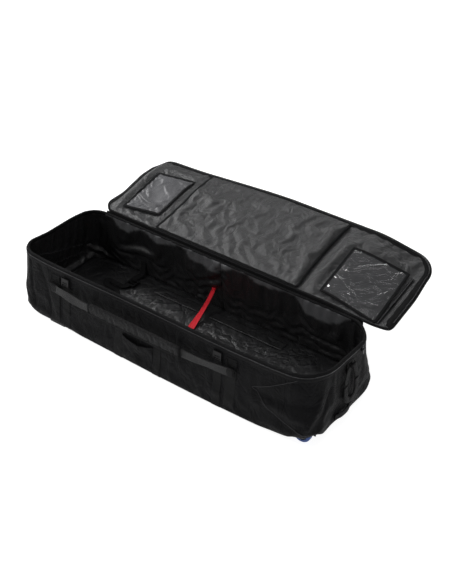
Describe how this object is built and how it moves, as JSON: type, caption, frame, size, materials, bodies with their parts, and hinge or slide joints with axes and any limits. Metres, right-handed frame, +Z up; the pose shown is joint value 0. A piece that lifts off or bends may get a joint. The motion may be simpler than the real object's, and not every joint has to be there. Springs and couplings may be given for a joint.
{
  "type": "wheeled board travel bag",
  "caption": "Long wheeled padded fabric bag for boards, open, with a hinged lid that has two clear pocket windows, a wrapped side handle and an end haul loop.",
  "frame": {"origin": "centre of the underside of the base panel, which is 26 mm above the floor", "axes": "+X along the bag towards the wheels, +Y towards the hinge side, +Z up; the front with the long carry handle faces -Y"},
  "size_m": [1.5182, 0.9191, 0.4122],
  "materials": {
    "cloth": "coarse woven nylon, coated, matt black",
    "lining": "thin dark grey nylon lining, slightly shiny",
    "lid_lining_cloth": "thin grey nylon lining, wrinkled, slightly shiny",
    "foam": "closed-cell foam sheet, hidden",
    "board": "stiff plastic sheet, hidden",
    "webbing": "ribbed polyester webbing, black",
    "binding_tape": "woven binding tape, black",
    "zip_tape": "zip tape with moulded teeth, black",
    "plastic": "moulded acetal, black, fine texture",
    "slider": "black enamel",
    "steel": "zinc-plated, satin",
    "red_webbing": "ribbed polyester webbing, dark red",
    "window": "clear vinyl sheet, glossy, slightly milky",
    "tyre_blue": "cast polyurethane, satin blue"
  },
  "bodies": {
    "tub": {"base_shell": "cloth", "base_board": "board", "floor_pad": "lining", "front_panel": "cloth", "back_panel": "cloth", "nose_panel": "cloth", "wheel_end_panel": "cloth", "wall_foam": "foam", "tub_lining": "lining", "rim_binding": "binding_tape", "tub_zip_tape": "zip_tape", "hinge_strip": "binding_tape", "nose_feet": "plastic", "wheel_housing_front": "plastic", "wheel_housing_back": "plastic", "housing_rivets": "steel", "axle_front": "steel", "axle_back": "steel", "wheel_well_covers": "lining", "compression_straps": "webbing", "handle_webs": "webbing", "anchor_webs": "webbing", "end_handle_anchor": "webbing", "lower_grab_handle": "webbing", "side_pocket": "cloth", "corner_piping": "webbing", "red_strap": "red_webbing", "tie_down_strap": "webbing", "tie_down_buckle": "plastic", "floor_strip": "webbing"},
    "lid": {"lid_outer": "cloth", "lid_foam": "foam", "lid_lining": "lid_lining_cloth", "lid_binding": "binding_tape", "lid_zip_tape": "zip_tape", "left_window": "window", "right_window": "window", "window_bindings": "binding_tape", "centre_panel": "lid_lining_cloth", "pocket_zips": "zip_tape", "lid_straps": "webbing", "strap_clips": "plastic"},
    "wheel_front": {"tyre_front": "tyre_blue", "hub_front": "plastic", "bearings_front": "steel"},
    "wheel_back": {"tyre_back": "tyre_blue", "hub_back": "plastic", "bearings_back": "steel"},
    "carry_handle": {"carry_handle": "webbing", "grip_wrap": "cloth"},
    "back_handle": {"back_handle": "webbing"},
    "end_handle": {"end_handle": "webbing"},
    "nose_buckle": {"nose_buckle": "plastic"},
    "wheel_buckle": {"wheel_buckle": "plastic"},
    "wheel_end_slider": {"wheel_end_slider": "slider"},
    "wheel_end_pull": {"wheel_end_pull": "slider"},
    "nose_slider": {"nose_slider": "slider"},
    "nose_pull": {"nose_pull": "slider"},
    "left_pocket_slider": {"left_pocket_slider": "slider"},
    "right_pocket_slider": {"right_pocket_slider": "slider"}
  },
  "joints": [
    {"name": "lid_hinge", "type": "hinge", "parent": "tub", "child": "lid", "pos_m": [0, 0.221, 0.279], "axis": [1, 0, 0], "range_deg": [0, 166]},
    {"name": "wheel_front_spin", "type": "hinge", "parent": "tub", "child": "wheel_front", "pos_m": [0.688, -0.19, 0.012], "axis": [0, 1, 0], "continuous": true},
    {"name": "wheel_back_spin", "type": "hinge", "parent": "tub", "child": "wheel_back", "pos_m": [0.688, 0.19, 0.012], "axis": [0, 1, 0], "continuous": true},
    {"name": "carry_handle_swing", "type": "hinge", "parent": "tub", "child": "carry_handle", "pos_m": [0, -0.236, 0.195], "axis": [-1, 0, 0], "range_deg": [0, 60]},
    {"name": "back_handle_swing", "type": "hinge", "parent": "tub", "child": "back_handle", "pos_m": [0, 0.236, 0.2], "axis": [1, 0, 0], "range_deg": [0, 75]},
    {"name": "end_handle_swing", "type": "hinge", "parent": "tub", "child": "end_handle", "pos_m": [0.75323, 0.02, 0.226], "axis": [0, -1, 0], "range_deg": [0, 150]},
    {"name": "nose_buckle_flip", "type": "hinge", "parent": "tub", "child": "nose_buckle", "pos_m": [-0.455, -0.23214, 0.207], "axis": [1, 0, 0], "range_deg": [0, 60]},
    {"name": "wheel_buckle_flip", "type": "hinge", "parent": "tub", "child": "wheel_buckle", "pos_m": [0.322, -0.23214, 0.207], "axis": [1, 0, 0], "range_deg": [0, 60]},
    {"name": "wheel_end_slider_slide", "type": "slide", "parent": "tub", "child": "wheel_end_slider", "axis": [0, -1, 0], "range_m": [0, 0.18]},
    {"name": "wheel_end_pull_swing", "type": "hinge", "parent": "wheel_end_slider", "child": "wheel_end_pull", "pos_m": [0.75369, 0.096, 0.254], "axis": [0, -1, 0], "range_deg": [0, 150]},
    {"name": "nose_slider_slide", "type": "slide", "parent": "tub", "child": "nose_slider", "axis": [0, -1, 0], "range_m": [0, 0.18]},
    {"name": "nose_pull_swing", "type": "hinge", "parent": "nose_slider", "child": "nose_pull", "pos_m": [-0.72124, 0.096, 0.254], "axis": [0, 1, 0], "range_deg": [0, 150]},
    {"name": "left_pocket_slide", "type": "slide", "parent": "lid", "child": "left_pocket_slider", "axis": [0, 0.972, 0.2351], "range_m": [-0.085, 0.12]},
    {"name": "right_pocket_slide", "type": "slide", "parent": "lid", "child": "right_pocket_slider", "axis": [0, 0.972, 0.2351], "range_m": [-0.1, 0.13]}
  ]
}
